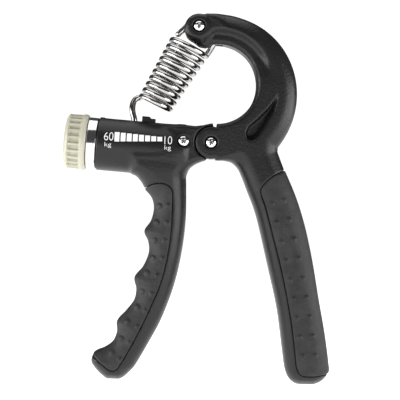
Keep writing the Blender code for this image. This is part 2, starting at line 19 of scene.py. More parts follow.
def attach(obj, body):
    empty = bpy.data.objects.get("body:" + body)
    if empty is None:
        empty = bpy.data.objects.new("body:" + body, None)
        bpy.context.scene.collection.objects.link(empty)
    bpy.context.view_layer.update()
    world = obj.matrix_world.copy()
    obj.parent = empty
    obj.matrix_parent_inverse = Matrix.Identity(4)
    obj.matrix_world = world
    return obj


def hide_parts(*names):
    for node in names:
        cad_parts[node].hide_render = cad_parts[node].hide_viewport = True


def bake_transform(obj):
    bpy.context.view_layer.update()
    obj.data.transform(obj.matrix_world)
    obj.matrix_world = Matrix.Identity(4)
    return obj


MM = 0.001
PIVOT = (4.8, 103.3)  # the handle pivot's x and height in the frame, mm

BARREL_MOUTH = (-48.6, -1.5)
BARREL_DROP = math.radians(3.5)
BARREL_RADIUS = 11.4
BARREL_LENGTH = 39.0
BORE_RADIUS = 9.3
BORE_END = 32.5
SLOT = (2.4, 33.6, 2.3)  # start, end and half width of the slot along the barrel

HEAD_HALF_DEPTH = 9.6
TONGUE_HALF_DEPTH = 3.7
TONGUE_RADIUS = 6.5
PIVOT_BUSH_RADIUS = 3.1
CHEEK_START = 4.9
KNUCKLE_RADIUS = 6.9
KNUCKLE_GAP_RADIUS = 7.2

HOLE_CENTRE = (1.9, 25.1)
HOLE_RADIUS = 17.0
HOOK_PIN = (-6.5, 49.5)
HOOK_TIP_HALF_DEPTH = 6.8
BEARING_SCREW = (-11.7, 0.2)
COUNTERBORE_RADIUS = 2.75
COUNTERBORE_DEPTH = 1.1
SCREW_HEAD_RADIUS = 2.3
SCREW_HEAD_HEIGHT = 1.3

SEAT_DEPTH = 2.4  # of the rubber's seat in a handle
SEAT_EDGE = 0.35
RUBBER_THICKNESS = 2.2  # below the handle's surface
RUBBER_RISE = 0.22  # above it
RUBBER_GAP = 0.18
DOT_HEIGHT = 0.72
DOT_RADIUS = 1.2

THREAD_PITCH = 2.0
THREAD_RADIUS = 1.8
FLUTES = 24

WIRE_RADIUS = 1.3
COIL_RADII = (6.5, 7.9)  # at the first and the last turn
COIL_PITCH = 3.05
COIL_TURNS = 9.5
COIL_MIDDLE = (-18.6, 26.7)
COIL_LEAN = math.radians(60.4)
COIL_START = -12.3
COIL_TOP = COIL_START + COIL_PITCH * COIL_TURNS
ANCHOR_S, ANCHOR_N = 17.1, 6.5

BARS = 8
BAR_WIDTH = 2.05
BAR_STEP = 2.58
PRINT_RISE = 0.1

FLOOR_LEVEL = -0.0125  # m, clear of the palm handle's foot when the grip is closed

LEVER_GRID = 0.42  # mm between grid points of a distance field
GRIP_GRID = 0.34
FINE_GRID = 0.26

FINGER_EDGE = [
    (-34.4, -7.0), (-34.0, -13.4), (-31.5, -15.2), (-29.2, -17.8), (-27.6, -20.5),
    (-24.6, -24.0), (-23.5, -28.5), (-24.6, -34.0), (-27.3, -38.5), (-25.5, -43.0),
    (-25.2, -48.0), (-27.6, -54.0), (-31.0, -58.5), (-30.1, -63.5), (-31.0, -68.5),
    (-34.6, -73.5), (-38.0, -77.5), (-37.9, -82.0), (-39.6, -86.5), (-43.0, -89.3),
    (-47.5, -91.5), (-48.9, -95.0), (-47.2, -98.2), (-44.4, -101.2), (-42.6, -102.8),
    (-42.0, -103.3),
]
MAIN_INNER_EDGE = [
    (-4.0, -8.2), (-6.5, -9.4), (-9.0, -11.5), (-10.2, -14.5), (-10.1, -19.0),
    (-9.9, -33.0), (-11.2, -47.0), (-14.1, -61.5), (-19.1, -76.0), (-24.4, -86.6),
    (-29.4, -95.8), (-31.9, -99.1), (-34.6, -101.8), (-36.0, -102.8), (-36.6, -103.3),
]
PALM_EDGE = [
    (28.6, -3.0), (31.6, -10.4), (36.8, -21.8), (41.0, -34.0),
    (44.7, -48.8), (48.1, -66.0), (51.1, -80.5), (53.3, -94.0), (53.5, -96.5),
    (52.4, -99.2), (50.2, -101.6), (47.8, -102.9), (47.2, -103.3),
]
HOOK_INNER_EDGE = [
    (5.5, -7.35), (8.8, -8.1), (11.3, -10.1), (13.1, -13.0),
    (16.3, -20.6), (20.6, -31.7), (26.2, -53.3), (30.5, -70.9), (33.3, -88.6),
    (34.6, -96.2), (36.4, -100.3), (39.2, -102.7), (41.4, -103.3),
]
HEAD_OUTLINE = [
    (-34.4, 4.0), (-24.0, 6.2), (-14.0, 7.2), (-10.5, 7.2), (-6.8, 6.9), (-3.8, 7.3),
    (-1.1, 8.0), (0.5, 8.3), (1.1, 6.4), (0.9, -6.3), (-1.75, -6.8), (-1.9, -7.4),
]
RECESS_LEFT = [
    (28.0, 24.5), (26.7, 19.8), (23.6, 15.4), (18.9, 10.5), (15.5, 7.4), (14.3, 4.8),
    (14.9, 2.2), (16.6, 0.7),
]
RECESS_RIGHT = [
    (28.0, 24.5), (28.1, 19.5), (27.0, 14.0), (23.7, 7.6), (20.5, 2.8), (18.4, 0.8),
    (16.6, 0.7),
]
FINGER_RUBBER = [
    (-60.0, -20.4), (-27.7, -20.1), (-24.8, -18.5), (-21.1, -17.7), (-17.8, -18.5),
    (-15.8, -21.1), (-15.5, -27.3), (-15.8, -38.4), (-17.1, -49.4), (-19.5, -60.0),
    (-22.6, -68.3), (-27.2, -78.9), (-31.9, -88.4), (-35.6, -95.1), (-37.7, -98.0),
    (-40.4, -98.3), (-43.8, -95.9), (-47.8, -92.9), (-60.0, -84.0),
]
PALM_RUBBER = [
    (65.0, -4.0), (31.6, -10.8), (26.7, -13.4), (22.7, -17.2), (21.6, -20.6),
    (23.8, -26.7), (26.4, -35.6), (31.3, -53.2), (35.7, -72.7), (38.0, -87.2),
    (39.2, -95.0), (41.6, -98.2), (46.5, -98.5), (51.6, -98.0), (65.0, -97.0),
]


# ---------------------------------------------------------------- places


def place(x, z, y=0.0):
    return Vector(((x + PIVOT[0]) * MM, y * MM, (z + PIVOT[1]) * MM))


def in_barrel(s, n, y=0.0):
    x = BARREL_MOUTH[0] + s * math.cos(BARREL_DROP) + n * math.sin(BARREL_DROP)
    z = BARREL_MOUTH[1] - s * math.sin(BARREL_DROP) + n * math.cos(BARREL_DROP)
    return place(x, z, y)


def on_coil(along, across, y=0.0):
    x = COIL_MIDDLE[0] + along * math.cos(COIL_LEAN) + across * math.sin(COIL_LEAN)
    z = COIL_MIDDLE[1] + along * math.sin(COIL_LEAN) - across * math.cos(COIL_LEAN)
    return place(x, z, y)


def smooth(points, steps):
    """Catmull-Rom curve through points, with `steps` stretches between each two."""
    rows = [np.array(p, float) for p in points]
    rows = [2 * rows[0] - rows[1]] + rows + [2 * rows[-1] - rows[-2]]
    curve = []
    for a, b, c, d in zip(rows, rows[1:], rows[2:], rows[3:]):
        for k in range(steps):
            t = k / steps
            bend = (2 * a - 5 * b + 4 * c - d) * t**2 + (3 * b - a - 3 * c + d) * t**3
            curve.append(b + ((c - a) * t + bend) / 2)
    return curve + [rows[-2]]


# ---------------------------------------------------------------- distance fields


def smoothstep(low, high, value):
    t = np.clip((value - low) / (high - low), 0.0, 1.0)
    return t * t * (3 - 2 * t)


def union(a, b, blend=0.0):
    """Where either field is inside, with a fillet as wide as `blend`."""
    if not blend:
        return np.minimum(a, b)
    meet = np.maximum(blend - np.abs(a - b), 0.0) / blend
    return np.minimum(a, b) - meet * meet * blend / 4


def both(a, b, blend=0.0):
    return -union(-a, -b, blend)


def remove(a, b, blend=0.0):
    return both(a, -b, blend)


def outline_distance(x, z, outline):
    """Signed distance in the x-z plane to a closed outline, negative inside."""
    nearest = np.full(np.broadcast(x, z).shape, 1e9, np.float32)
    inside = np.zeros(nearest.shape, bool)
    points = [tuple(map(float, p)) for p in outline]
    for (x0, z0), (x1, z1) in zip(points, points[1:] + points[:1]):
        ex, ez = x1 - x0, z1 - z0
        length = ex * ex + ez * ez
        if length < 1e-12:
            continue
        t = np.clip(((x - x0) * ex + (z - z0) * ez) / length, 0, 1)
        nearest = np.minimum(nearest, (x - x0 - t * ex) ** 2 + (z - z0 - t * ez) ** 2)
        if z0 != z1:
            inside ^= ((z0 > z) != (z1 > z)) & (x < ex * (z - z0) / ez + x0)
    distance = np.sqrt(nearest)
    return np.where(inside, -distance, distance)


def line_distance(x, z, points):
    """Distance in the x-z plane to an open line."""
    nearest = np.full(np.broadcast(x, z).shape, 1e9, np.float32)
    for (x0, z0), (x1, z1) in zip(points, points[1:]):
        ex, ez = x1 - x0, z1 - z0
        t = np.clip(((x - x0) * ex + (z - z0) * ez) / (ex * ex + ez * ez), 0, 1)
        nearest = np.minimum(nearest, (x - x0 - t * ex) ** 2 + (z - z0 - t * ez) ** 2)
    return np.sqrt(nearest)


def slab(outline, y, half_depth, edge):
    """An outline given depth, with edges rounded to the radius `edge`."""
    out, up = outline + edge, np.abs(y) - (half_depth - edge)
    corner = np.hypot(np.maximum(out, 0), np.maximum(up, 0))
    return np.minimum(np.maximum(out, up), 0) + corner - edge


def tube_field(along, radius, start, end, radial, edge=0.0):
    """A round bar between two places along an axis."""
    out = radial - radius + edge
    up = np.abs(along - (start + end) / 2) - (end - start) / 2 + edge
    corner = np.hypot(np.maximum(out, 0), np.maximum(up, 0))
    return np.minimum(np.maximum(out, up), 0) + corner - edge


class Grid:
    """Grid points in mm, as three arrays that broadcast against each other."""

    def __init__(self, low, high, step):
        self.low, self.step = np.array(low, float), step
        spans = [np.arange(a, b + step, step, dtype=np.float32) for a, b in zip(low, high)]
        self.x = spans[0][:, None, None]
        self.y = spans[1][None, :, None]
        self.z = spans[2][None, None, :]
        self.s = (self.x - BARREL_MOUTH[0]) * math.cos(BARREL_DROP)
        self.s = self.s - (self.z - BARREL_MOUTH[1]) * math.sin(BARREL_DROP)
        self.n = (self.x - BARREL_MOUTH[0]) * math.sin(BARREL_DROP)
        self.n = self.n + (self.z - BARREL_MOUTH[1]) * math.cos(BARREL_DROP)

    def outline(self, points):
        return outline_distance(self.x, self.z, points)

    def about(self, centre):
        return np.hypot(self.x - centre[0], self.z - centre[1])

    def mesh(self, field):
        """Corners and quads of the field's zero surface, one corner for each cell."""
        inside = field < 0
        cells = np.zeros(tuple(n - 1 for n in field.shape), np.int8)
        for corner in product((slice(None, -1), slice(1, None)), repeat=3):
            cells += inside[corner]
        mixed = (cells > 0) & (cells < 8)
        where = np.argwhere(mixed)
        index = np.full(cells.shape, -1, np.int64)
        index[mixed] = np.arange(len(where))
        spots = np.zeros((len(where), 3))
        hits = np.zeros(len(where))
        for axis in range(3):
            others = [a for a in range(3) if a != axis]
            for i, j in product((0, 1), repeat=2):
                start = where.copy()
                start[:, others[0]] += i
                start[:, others[1]] += j
                stop = start.copy()
                stop[:, axis] += 1
                a, b = field[tuple(start.T)], field[tuple(stop.T)]
                cross = (a < 0) != (b < 0)
                share = np.where(cross, a / np.where(a == b, 1, a - b), 0)
                spot = start.astype(float)
                spot[:, axis] += share
                spots[cross] += spot[cross]
                hits[cross] += 1
        spots /= hits[:, None]
        quads = []
        for axis in range(3):
            step = np.eye(3, dtype=int)[axis]
            sides = [np.eye(3, dtype=int)[(axis + 1) % 3], np.eye(3, dtype=int)[(axis + 2) % 3]]
            here = inside[tuple(slice(None, -1) if a == axis else slice(1, -1) for a in range(3))]
            there = inside[tuple(slice(1, None) if a == axis else slice(1, -1) for a in range(3))]
            for leaving in (True, False):
                edges = np.argwhere((here != there) & (here == leaving))
                edges = edges + 1 - step
                ring = [edges, edges - sides[0], edges - sides[0] - sides[1], edges - sides[1]]
                face = np.stack([index[tuple(c.T)] for c in ring], axis=1)
                quads.append(face if leaving else face[:, ::-1])
        for _ in range(3):
            spots = self.settle(field, spots)
        return self.low + spots * self.step, np.concatenate(quads)

    def settle(self, field, spots):
        """Moves corners along the slope onto the zero surface."""
        base = np.clip(np.floor(spots).astype(int), 0, np.array(field.shape) - 2)
        part = spots - base
        value = np.zeros(len(spots))
        slope = np.zeros((len(spots), 3))
        for i, j, k in product((0, 1), repeat=3):
            f = field[base[:, 0] + i, base[:, 1] + j, base[:, 2] + k]
            wx = part[:, 0] if i else 1 - part[:, 0]
            wy = part[:, 1] if j else 1 - part[:, 1]
            wz = part[:, 2] if k else 1 - part[:, 2]
            value += f * wx * wy * wz
            slope[:, 0] += f * (1 if i else -1) * wy * wz
            slope[:, 1] += f * (1 if j else -1) * wx * wz
            slope[:, 2] += f * (1 if k else -1) * wx * wy
        size = np.maximum((slope**2).sum(axis=1), 1e-6)
        move = slope * (value / size)[:, None]
        return spots - np.clip(move, -0.3, 0.3)


# ---------------------------------------------------------------- meshes


def piece(name, verts, faces, material, smooth_angle=None):
    """A mesh object from corners in metres."""
    mesh = bpy.data.meshes.new(name)
    mesh.from_pydata([tuple(v) for v in verts], [], [tuple(f) for f in faces])
    mesh.validate()
    mesh.shade_smooth()
    if smooth_angle:
        mesh.set_sharp_from_angle(angle=math.radians(smooth_angle))
    mesh.materials.append(material)
    made = bpy.data.objects.new(name, mesh)
    bpy.context.scene.collection.objects.link(made)
    return made


def face_outwards(made):
    build = bmesh.new()
    build.from_mesh(made.data)
    bmesh.ops.recalc_face_normals(build, faces=build.faces)
    build.to_mesh(made.data)
    build.free()


def moulded(name, grid, field, material):
    corners, quads = grid.mesh(field)
    corners = (corners + np.array([PIVOT[0], 0, PIVOT[1]])) * MM
    return piece(name, corners.tolist(), quads.tolist(), material)


def turned(name, profile, start, axis, material, segments=64, radius_at=None, smooth_angle=35):
    """A closed (along, radius) profile turned about an axis; radius 0 is a pole."""
    side = axis.cross(Vector((0, 1, 0)))
    side = (side if side.length > 0.1 else Vector((1, 0, 0))).normalized()
    other = axis.cross(side)
    verts, rows = [], []
    for along, radius in profile:
        middle = start + axis * along * MM
        if radius == 0:
            rows.append([len(verts)])
            verts.append(middle)
            continue
        row = []
        for k in range(segments):
            turn = 2 * math.pi * k / segments
            reach = radius_at(along, radius, turn) if radius_at else radius
            row.append(len(verts))
            verts.append(middle + (side * math.cos(turn) + other * math.sin(turn)) * reach * MM)
        rows.append(row)
    faces = []
    for row, following in zip(rows, rows[1:] + rows[:1]):
        if len(row) == 1 and len(following) == 1:
            continue
        for k in range(segments):
            corners = [row[k % len(row)], row[(k + 1) % len(row)]]
            corners += [following[(k + 1) % len(following)], following[k % len(following)]]
            faces.append(tuple(dict.fromkeys(corners)))
    made = piece(name, verts, faces, material, smooth_angle)
    face_outwards(made)
    return made


def rounded_profile(points, radius, steps=4):
    """A profile whose corners off the axis are rounded."""
    out = []
    for k, (a, r) in enumerate(points):
        if r == 0:
            out.append((a, r))
            continue
        here = np.array([a, r], float)
        before = np.array(points[k - 1], float)
        after = np.array(points[(k + 1) % len(points)], float)
        to_before, to_after = before - here, after - here
        lengths = [np.linalg.norm(to_before), np.linalg.norm(to_after)]
        if min(lengths) < 1e-6:
            out.append((a, r))
            continue
        cut = min(radius, 0.45 * lengths[0], 0.45 * lengths[1])
        p, q = here + to_before / lengths[0] * cut, here + to_after / lengths[1] * cut
        for j in range(steps + 1):
            t = j / steps
            spot = (1 - t) ** 2 * p + 2 * t * (1 - t) * here + t * t * q
            out.append((float(spot[0]), float(spot[1])))
    return out


def wire(name, path, material, sides=20, first=1.0):
    """A round wire with domed ends along a path of places in metres.

    Its first rings are thinned by `first`, so that it can start inside another wire.
    """
    verts, faces, rings = [], [], []
    normal = Vector((0, 1, 0))
    count = len(path)
    caps = [(-0.9, 0.35), (-0.55, 0.75)]  # places before the end and shares of the radius
    for k, point in enumerate(path):
        ahead = (path[min(k + 1, count - 1)] - path[max(k - 1, 0)]).normalized()
        normal = (normal - ahead * normal.dot(ahead)).normalized()
        across = ahead.cross(normal)
        frames = [(point, 1.0)]
        if k == 0:
            frames = [(point + ahead * a * WIRE_RADIUS * MM, s) for a, s in caps] + frames
        if k == count - 1:
            frames += [(point - ahead * a * WIRE_RADIUS * MM, s) for a, s in caps[::-1]]
        for centre, share in frames:
            if k < 3:
                share *= first
            ring = []
            for side in range(sides):
                turn = 2 * math.pi * side / sides
                ring.append(len(verts))
                spoke = normal * math.cos(turn) + across * math.sin(turn)
                verts.append(centre + spoke * WIRE_RADIUS * share * MM)
            rings.append(ring)
    for low, high in zip(rings, rings[1:]):
        for k in range(sides):
            after = (k + 1) % sides
            faces.append((low[k], high[k], high[after], low[after]))
    faces.append(tuple(rings[0]))
    faces.append(tuple(rings[-1][::-1]))
    made = piece(name, verts, faces, material)
    face_outwards(made)
    return made


def carve(target, tool):
    """Cuts the tool out of the target and drops the tool."""
    step = target.modifiers.new("cut", "BOOLEAN")
    step.solver, step.operation, step.object = "EXACT", "DIFFERENCE", tool
    bpy.context.view_layer.update()
    graph = bpy.context.evaluated_depsgraph_get()
    mesh = bpy.data.meshes.new_from_object(target.evaluated_get(graph))
    target.modifiers.clear()
    target.data = mesh
    bpy.data.objects.remove(tool, do_unlink=True)


# ---------------------------------------------------------------- materials


def look(name, colour, roughness, metallic=0.0, spread=0.12, spread_scale=40.0, grain=0.0,
         grain_scale=1500.0, rough_spread=0.06, specular=0.5):
    """A finish whose colour and roughness wander a little, with a fine grain."""
    made = bpy.data.materials.new(name)
    made.use_nodes = True
    nodes, links = made.node_tree.nodes, made.node_tree.links
    shader = nodes["Principled BSDF"]
    shader.inputs["Metallic"].default_value = metallic
    shader.inputs["Specular IOR Level"].default_value = specular
    where = nodes.new("ShaderNodeTexCoord")
    patches = nodes.new("ShaderNodeTexNoise")
    patches.inputs["Scale"].default_value = spread_scale
    patches.inputs["Detail"].default_value = 5.0
    links.new(where.outputs["Object"], patches.inputs["Vector"])
    ramp = nodes.new("ShaderNodeValToRGB")
    shares = (1 - spread, 1 + spread)
    for stop, position, share in zip(ramp.color_ramp.elements, (0.3, 0.7), shares):
        stop.position = position
        stop.color = (*(min(1.0, c * share) for c in colour), 1)
    links.new(patches.outputs["Fac"], ramp.inputs["Fac"])
    links.new(ramp.outputs["Color"], shader.inputs["Base Color"])
    wear = nodes.new("ShaderNodeMapRange")
    wear.inputs["To Min"].default_value = roughness - rough_spread
    wear.inputs["To Max"].default_value = roughness + rough_spread
    links.new(patches.outputs["Fac"], wear.inputs["Value"])
    links.new(wear.outputs["Result"], shader.inputs["Roughness"])
    if grain:
        fine = nodes.new("ShaderNodeTexNoise")
        fine.inputs["Scale"].default_value = grain_scale
        fine.inputs["Detail"].default_value = 3.0
        links.new(where.outputs["Object"], fine.inputs["Vector"])
        bump = nodes.new("ShaderNodeBump")
        bump.inputs["Strength"].default_value = grain
        bump.inputs["Distance"].default_value = 0.0002
        links.new(fine.outputs["Fac"], bump.inputs["Height"])
        links.new(bump.outputs["Normal"], shader.inputs["Normal"])
    return made


BLACK = look("black_plastic_look", (0.009, 0.009, 0.009), 0.34, grain=0.6, grain_scale=1100,
             specular=0.33)
RUBBER = look("rubber_look", (0.018, 0.018, 0.018), 0.58, spread=0.4, spread_scale=260, grain=0.9,
              grain_scale=1300, specular=0.36)
CREAM = look("cream_plastic_look", (0.46, 0.445, 0.35), 0.38, spread=0.05, grain=0.08)
CHROME = look("chrome_look", (0.70, 0.70, 0.72), 0.13, metallic=1.0, spread=0.03,
              rough_spread=0.04)
NICKEL = look("spring_nickel_look", (0.43, 0.42, 0.415), 0.15, metallic=1.0, spread=0.05,
              rough_spread=0.04)
STEEL = look("steel_look", (0.58, 0.58, 0.59), 0.28, metallic=1.0, spread=0.06, grain=0.05)
BRASS = look("brass_look", (0.72, 0.54, 0.26), 0.3, metallic=1.0, spread=0.08, grain=0.05)
ACETAL = look("white_acetal_look", (0.78, 0.78, 0.76), 0.45, spread=0.03, grain=0.05)
PRINT = look("print_look", (0.82, 0.82, 0.83), 0.5, spread=0.05, spread_scale=600, grain=0.05)


# ---------------------------------------------------------------- levers


def handle_half_depth(z):
    return np.interp(z, [-103.3, -102.4, -100.5, -97, -90, -50, -20, -6],
                     [5.0, 6.6, 7.8, 8.6, 9.3, 9.9, 10.0, 9.6]).astype(np.float32)


def bore_at(field, grid, x, z, half_depth, shank):
    """A through hole for a screw, with a counterbore at either end."""
    radial = grid.about((x, z))
    floor = half_depth - COUNTERBORE_DEPTH
    hole = both(radial - COUNTERBORE_RADIUS, floor - np.abs(grid.y))
    return remove(remove(field, hole, 0.35), radial - shank - 0.3)


def main_fields(grid):
    """The main lever before its bores and its grip's seat are cut."""
    outline = HEAD_OUTLINE + smooth(MAIN_INNER_EDGE, 6) + smooth(FINGER_EDGE, 6)[::-1]
    flat = grid.outline(outline)
    edge = 1.5 + 6.2 * smoothstep(-3.0, -17.0, grid.z)
    # the neck swells to meet the barrel, and above it the head thins out inside the barrel
    low = 1.0 - smoothstep(-7.0, 2.0, grid.z)
    swell = 1.5 * smoothstep(-27.0, -9.0, grid.z) * smoothstep(-9.0, -17.0, grid.x) * low
    thinning = 4.5 * smoothstep(-12.0, -27.0, grid.x) * (1.0 - low)
    body = slab(flat, grid.y, handle_half_depth(grid.z) + swell - thinning, edge)
    radial = np.hypot(grid.n, grid.y)
    end_edge = 0.5 + 2.5 * smoothstep(20, 36, grid.s)
    barrel = tube_field(grid.s, BARREL_RADIUS, 0.0, BARREL_LENGTH, radial, end_edge)
    return union(body, barrel, 1.4)


def hook_outer(angle):
    """The hook's outer radius about its hole, by angle in degrees."""
    share = np.clip(72.0 - angle, 0, None) / 117.0
    low = np.interp(angle, [-89, -78, -60, -45], [32.6, 33.4, 36.5, 37.5])
    return np.where(angle > -45.0, 30.2 + 7.4 * share**1.3, low)


def hook_outline():
    """The whole lever's outline: round the hook, down the palm's side and back up."""

    def at_turn(turn, reach):
        a = math.radians(turn)
        return (HOLE_CENTRE[0] + reach * math.cos(a), HOLE_CENTRE[1] + reach * math.sin(a))

    turns = np.linspace(-89.0, 108.0, 120)
    hole = [at_turn(t, HOLE_RADIUS) for t in turns]
    outer = [at_turn(t, float(hook_outer(t))) for t in turns[::-1] if -45.5 < t < 101]
    palm = smooth(PALM_EDGE, 6) + smooth(HOOK_INNER_EDGE, 6)[::-1]
    return hole + outer + palm + [(2.4, -7.45)]


def hook_fields(grid):
    lever = grid.outline(hook_outline())
    tip = union(grid.about((-6.6, 48.9)) - 6.1, grid.about((-5.2, 43.3)) - 2.2, 2.0)
    block = grid.outline([(6.0, 7.0), (2.3, 7.0), (1.9, 0.0), (1.9, -7.35), (7.5, -7.2)])
    pivot = grid.about((0, 0))
    flat = union(lever, tip, 2.5)
    flat = union(union(flat, block, 0.3), pivot - KNUCKLE_RADIUS)
    angle = np.degrees(np.arctan2(grid.z - HOLE_CENTRE[1], grid.x - HOLE_CENTRE[0]))
    angle = np.where(angle < -120, angle + 360, angle)
    depth = np.interp(angle, [-60, 0, 70, 100], [9.6, 9.3, 8.4, 7.7])
    depth = np.where(grid.z < -6, np.minimum(handle_half_depth(grid.z), 10.0), depth)
    from_pin = grid.about(HOOK_PIN)
    depth = depth + (HOOK_TIP_HALF_DEPTH - depth) * (1 - smoothstep(4.5, 13.0, from_pin))
    # the band beside the hole lies lower than the rest of the hook
    radius = grid.about(HOLE_CENTRE)
    band = 1 - smoothstep(HOLE_RADIUS + 4.0, HOLE_RADIUS + 7.2, radius)
    band = band * smoothstep(8.0, 38.0, angle) * smoothstep(4.6, 7.8, from_pin)
    # the long recess below it falls away sharply on its left and softly on its right
    leaf = (grid.outline(RECESS_LEFT + RECESS_RIGHT[::-1]) < 0) * 1.0
    leaf = leaf * smoothstep(0.0, 0.9, line_distance(grid.x, grid.z, RECESS_LEFT))
    leaf = leaf * smoothstep(0.0, 2.6, line_distance(grid.x, grid.z, RECESS_RIGHT))
    top = depth - 2.3 * band - 3.6 * leaf
    # narrow rounding at the hole and the pivot, broad at the outside and down the palm
    edge = 1.3 + 5.6 * smoothstep(6.8, 15.0, pivot)
    near_hole = 1 - smoothstep(HOLE_RADIUS + 1.5, HOLE_RADIUS + 7.0, radius)
    edge = edge + (2.0 - edge) * near_hole * smoothstep(6.8, 9.0, pivot)
    edge = edge + (2.6 - edge) * (1 - smoothstep(7.0, 13.0, from_pin))
    edge = edge + (7.6 - edge) * smoothstep(-12.0, -26.0, grid.z)
    return slab(flat, grid.y, top.astype(np.float32), edge.astype(np.float32))


def dots(grid, places):
    """How far the raised dots stand above the rubber, over the x-z plane."""
    rise = np.zeros(np.broadcast(grid.x, grid.z).shape, np.float32)
    for x, z in places:
        away = grid.about((x, z)) / DOT_RADIUS
        rise = np.maximum(rise, DOT_HEIGHT * np.sqrt(np.clip(1 - away**2, 0, 1)))
    return rise


FINGER_DOTS = [
    (-21.3, -27.5), (-17.6, -27.4), (-22.2, -34.4), (-17.6, -34.6), (-22.8, -42.1),
    (-18.3, -42.3), (-23.3, -49.6), (-19.0, -49.8), (-25.7, -56.0), (-21.1, -57.2),
    (-27.5, -64.0), (-23.2, -65.0), (-29.4, -70.7), (-25.8, -72.2), (-33.5, -76.9),
    (-28.9, -79.2), (-36.0, -84.4), (-32.3, -86.2), (-39.6, -90.5), (-36.2, -93.2),
]
PALM_DOT_ROWS = 9


def palm_dots():
    rows = []
    for k in range(PALM_DOT_ROWS):
        t = k / (PALM_DOT_ROWS - 1)
        bow = 1.9 * math.sin(math.pi * t)
        rows.append((26.4 + 15.1 * t + bow * 0.55, -25.2 - 64.4 * t))
        rows.append((31.4 + 15.5 * t + bow * 0.75, -23.7 - 65.5 * t))
    return rows


def make_main_lever():
    grid = Grid((-50.5, -12.6, -105.0), (8.5, 12.6, 12.0), LEVER_GRID)
    field = main_fields(grid)
    seat = grid.outline(smooth_zone(FINGER_RUBBER))
    field = both(field, union(-seat, field + SEAT_DEPTH), SEAT_EDGE)
    pivot = grid.about((0, 0))
    gap = both(pivot - KNUCKLE_GAP_RADIUS, TONGUE_HALF_DEPTH - np.abs(grid.y))
    field = remove(field, gap, 0.3)
    field = union(field, both(pivot - TONGUE_RADIUS, np.abs(grid.y) - TONGUE_HALF_DEPTH))
    field = remove(field, both(pivot - PIVOT_BUSH_RADIUS, np.abs(grid.y) - 6.0))
    radial = np.hypot(grid.n, grid.y)
    field = remove(field, tube_field(grid.s, BORE_RADIUS, -4.0, BORE_END, radial), 0.5)
    field = remove(field, tube_field(grid.s, 6.5, 0.0, 39.2, radial))
    start, end, half = SLOT
    opening = slab(np.abs(grid.y) - half, grid.s - (start + end) / 2, (end - start) / 2, 1.2)
    field = remove(field, both(opening, 5.0 - grid.n), 0.5)
    field = bore_at(field, grid, *BEARING_SCREW, HEAD_HALF_DEPTH + 1.0, 1.5)
    lever = moulded("main_lever_shell", grid, field, BLACK)
    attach(lever, "main_lever_body")
    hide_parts("main_lever")
    return lever


def smooth_zone(points):
    """A rubber zone's outline: its seen edge curved, its far corners left straight."""
    return [points[0]] + smooth(points[1:-1], 5) + [points[-1]]


def make_hook_lever():
    grid = Grid((-14.5, -11.0, -105.0), (56.5, 11.0, 57.5), LEVER_GRID)
    field = hook_fields(grid)
    seat = grid.outline(smooth_zone(PALM_RUBBER))
    field = both(field, union(-seat, field + SEAT_DEPTH), SEAT_EDGE)
    pivot = grid.about((0, 0))
    field = remove(field, both(pivot - KNUCKLE_GAP_RADIUS, np.abs(grid.y) - CHEEK_START))
    slot = grid.outline([(-16.0, 36.0), (3.6, 36.0), (4.0, 48.0), (1.0, 60.0), (-16.0, 60.0)])
    field = remove(field, both(slot, np.abs(grid.y) - 1.9), 0.5)
    field = bore_at(field, grid, 0, 0, HEAD_HALF_DEPTH, 2.0)
    field = bore_at(field, grid, *HOOK_PIN, HOOK_TIP_HALF_DEPTH, 1.5)
    lever = moulded("hook_lever_shell", grid, field, BLACK)
    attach(lever, "hook_lever_body")
    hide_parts("hook_lever")


def make_grip(name, grid, handle, zone, places, body, node):
    """A rubber pad a little prouder than the handle, with raised dots on both faces."""
    seat = grid.outline(smooth_zone(zone))
    rise = RUBBER_RISE + dots(grid, places)
    outside = both(handle - rise, seat + RUBBER_GAP, 0.7)
    pad = moulded(name, grid, both(outside, -(handle + RUBBER_THICKNESS)), RUBBER)
    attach(pad, body)
    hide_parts(node)


def make_grips():
    grid = Grid((-51.5, -12.0, -101.0), (-12.0, 12.0, -14.5), GRIP_GRID)
    make_grip("finger_pad", grid, main_fields(grid), FINGER_RUBBER, FINGER_DOTS,
              "main_lever_body", "finger_grip")
    grid = Grid((19.0, -12.0, -101.5), (56.5, 12.0, -7.5), GRIP_GRID)
    make_grip("palm_pad", grid, hook_fields(grid), PALM_RUBBER, palm_dots(),
              "hook_lever_body", "palm_grip")


# ---------------------------------------------------------------- barrel


def barrel_axis():
    return (in_barrel(1, 0) - in_barrel(0, 0)).normalized()


def make_carriage():
    grid = Grid((-38.0, -9.6, -13.5), (-21.0, 9.6, 13.5), FINE_GRID)
    radial = np.hypot(grid.n, grid.y)
    field = tube_field(grid.s, BORE_RADIUS - 0.3, 13.0, 25.3, radial, 0.4)
    top = 13.4 - 0.75 * smoothstep(21.2, 21.9, grid.s)
    high = np.maximum(np.abs(grid.s - 20.9) - 2.9, np.abs(grid.n - top / 2) - top / 2)
    field = union(field, slab(high, grid.y, 2.0, 0.35))
    room = np.abs(grid.y) - 1.75
    field = remove(field, both(room, both(grid.s - 17.7, 2.0 - grid.n)), 0.3)
    field = remove(field, both(room, both(grid.s - 21.3, np.abs(grid.n - 5.7) - 3.7)))
    field = remove(field, radial - 2.3)
    field = remove(field, np.hypot(grid.s - ANCHOR_S, grid.n - ANCHOR_N) - 1.2)
    nut = both(np.abs(grid.y) - 4.3, both(np.abs(grid.n) - 4.3, 21.7 - grid.s))
    field = remove(field, nut)
    slider = moulded("carriage_slider", grid, field, BLACK)
    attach(slider, "carriage_body")
    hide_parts("carriage")


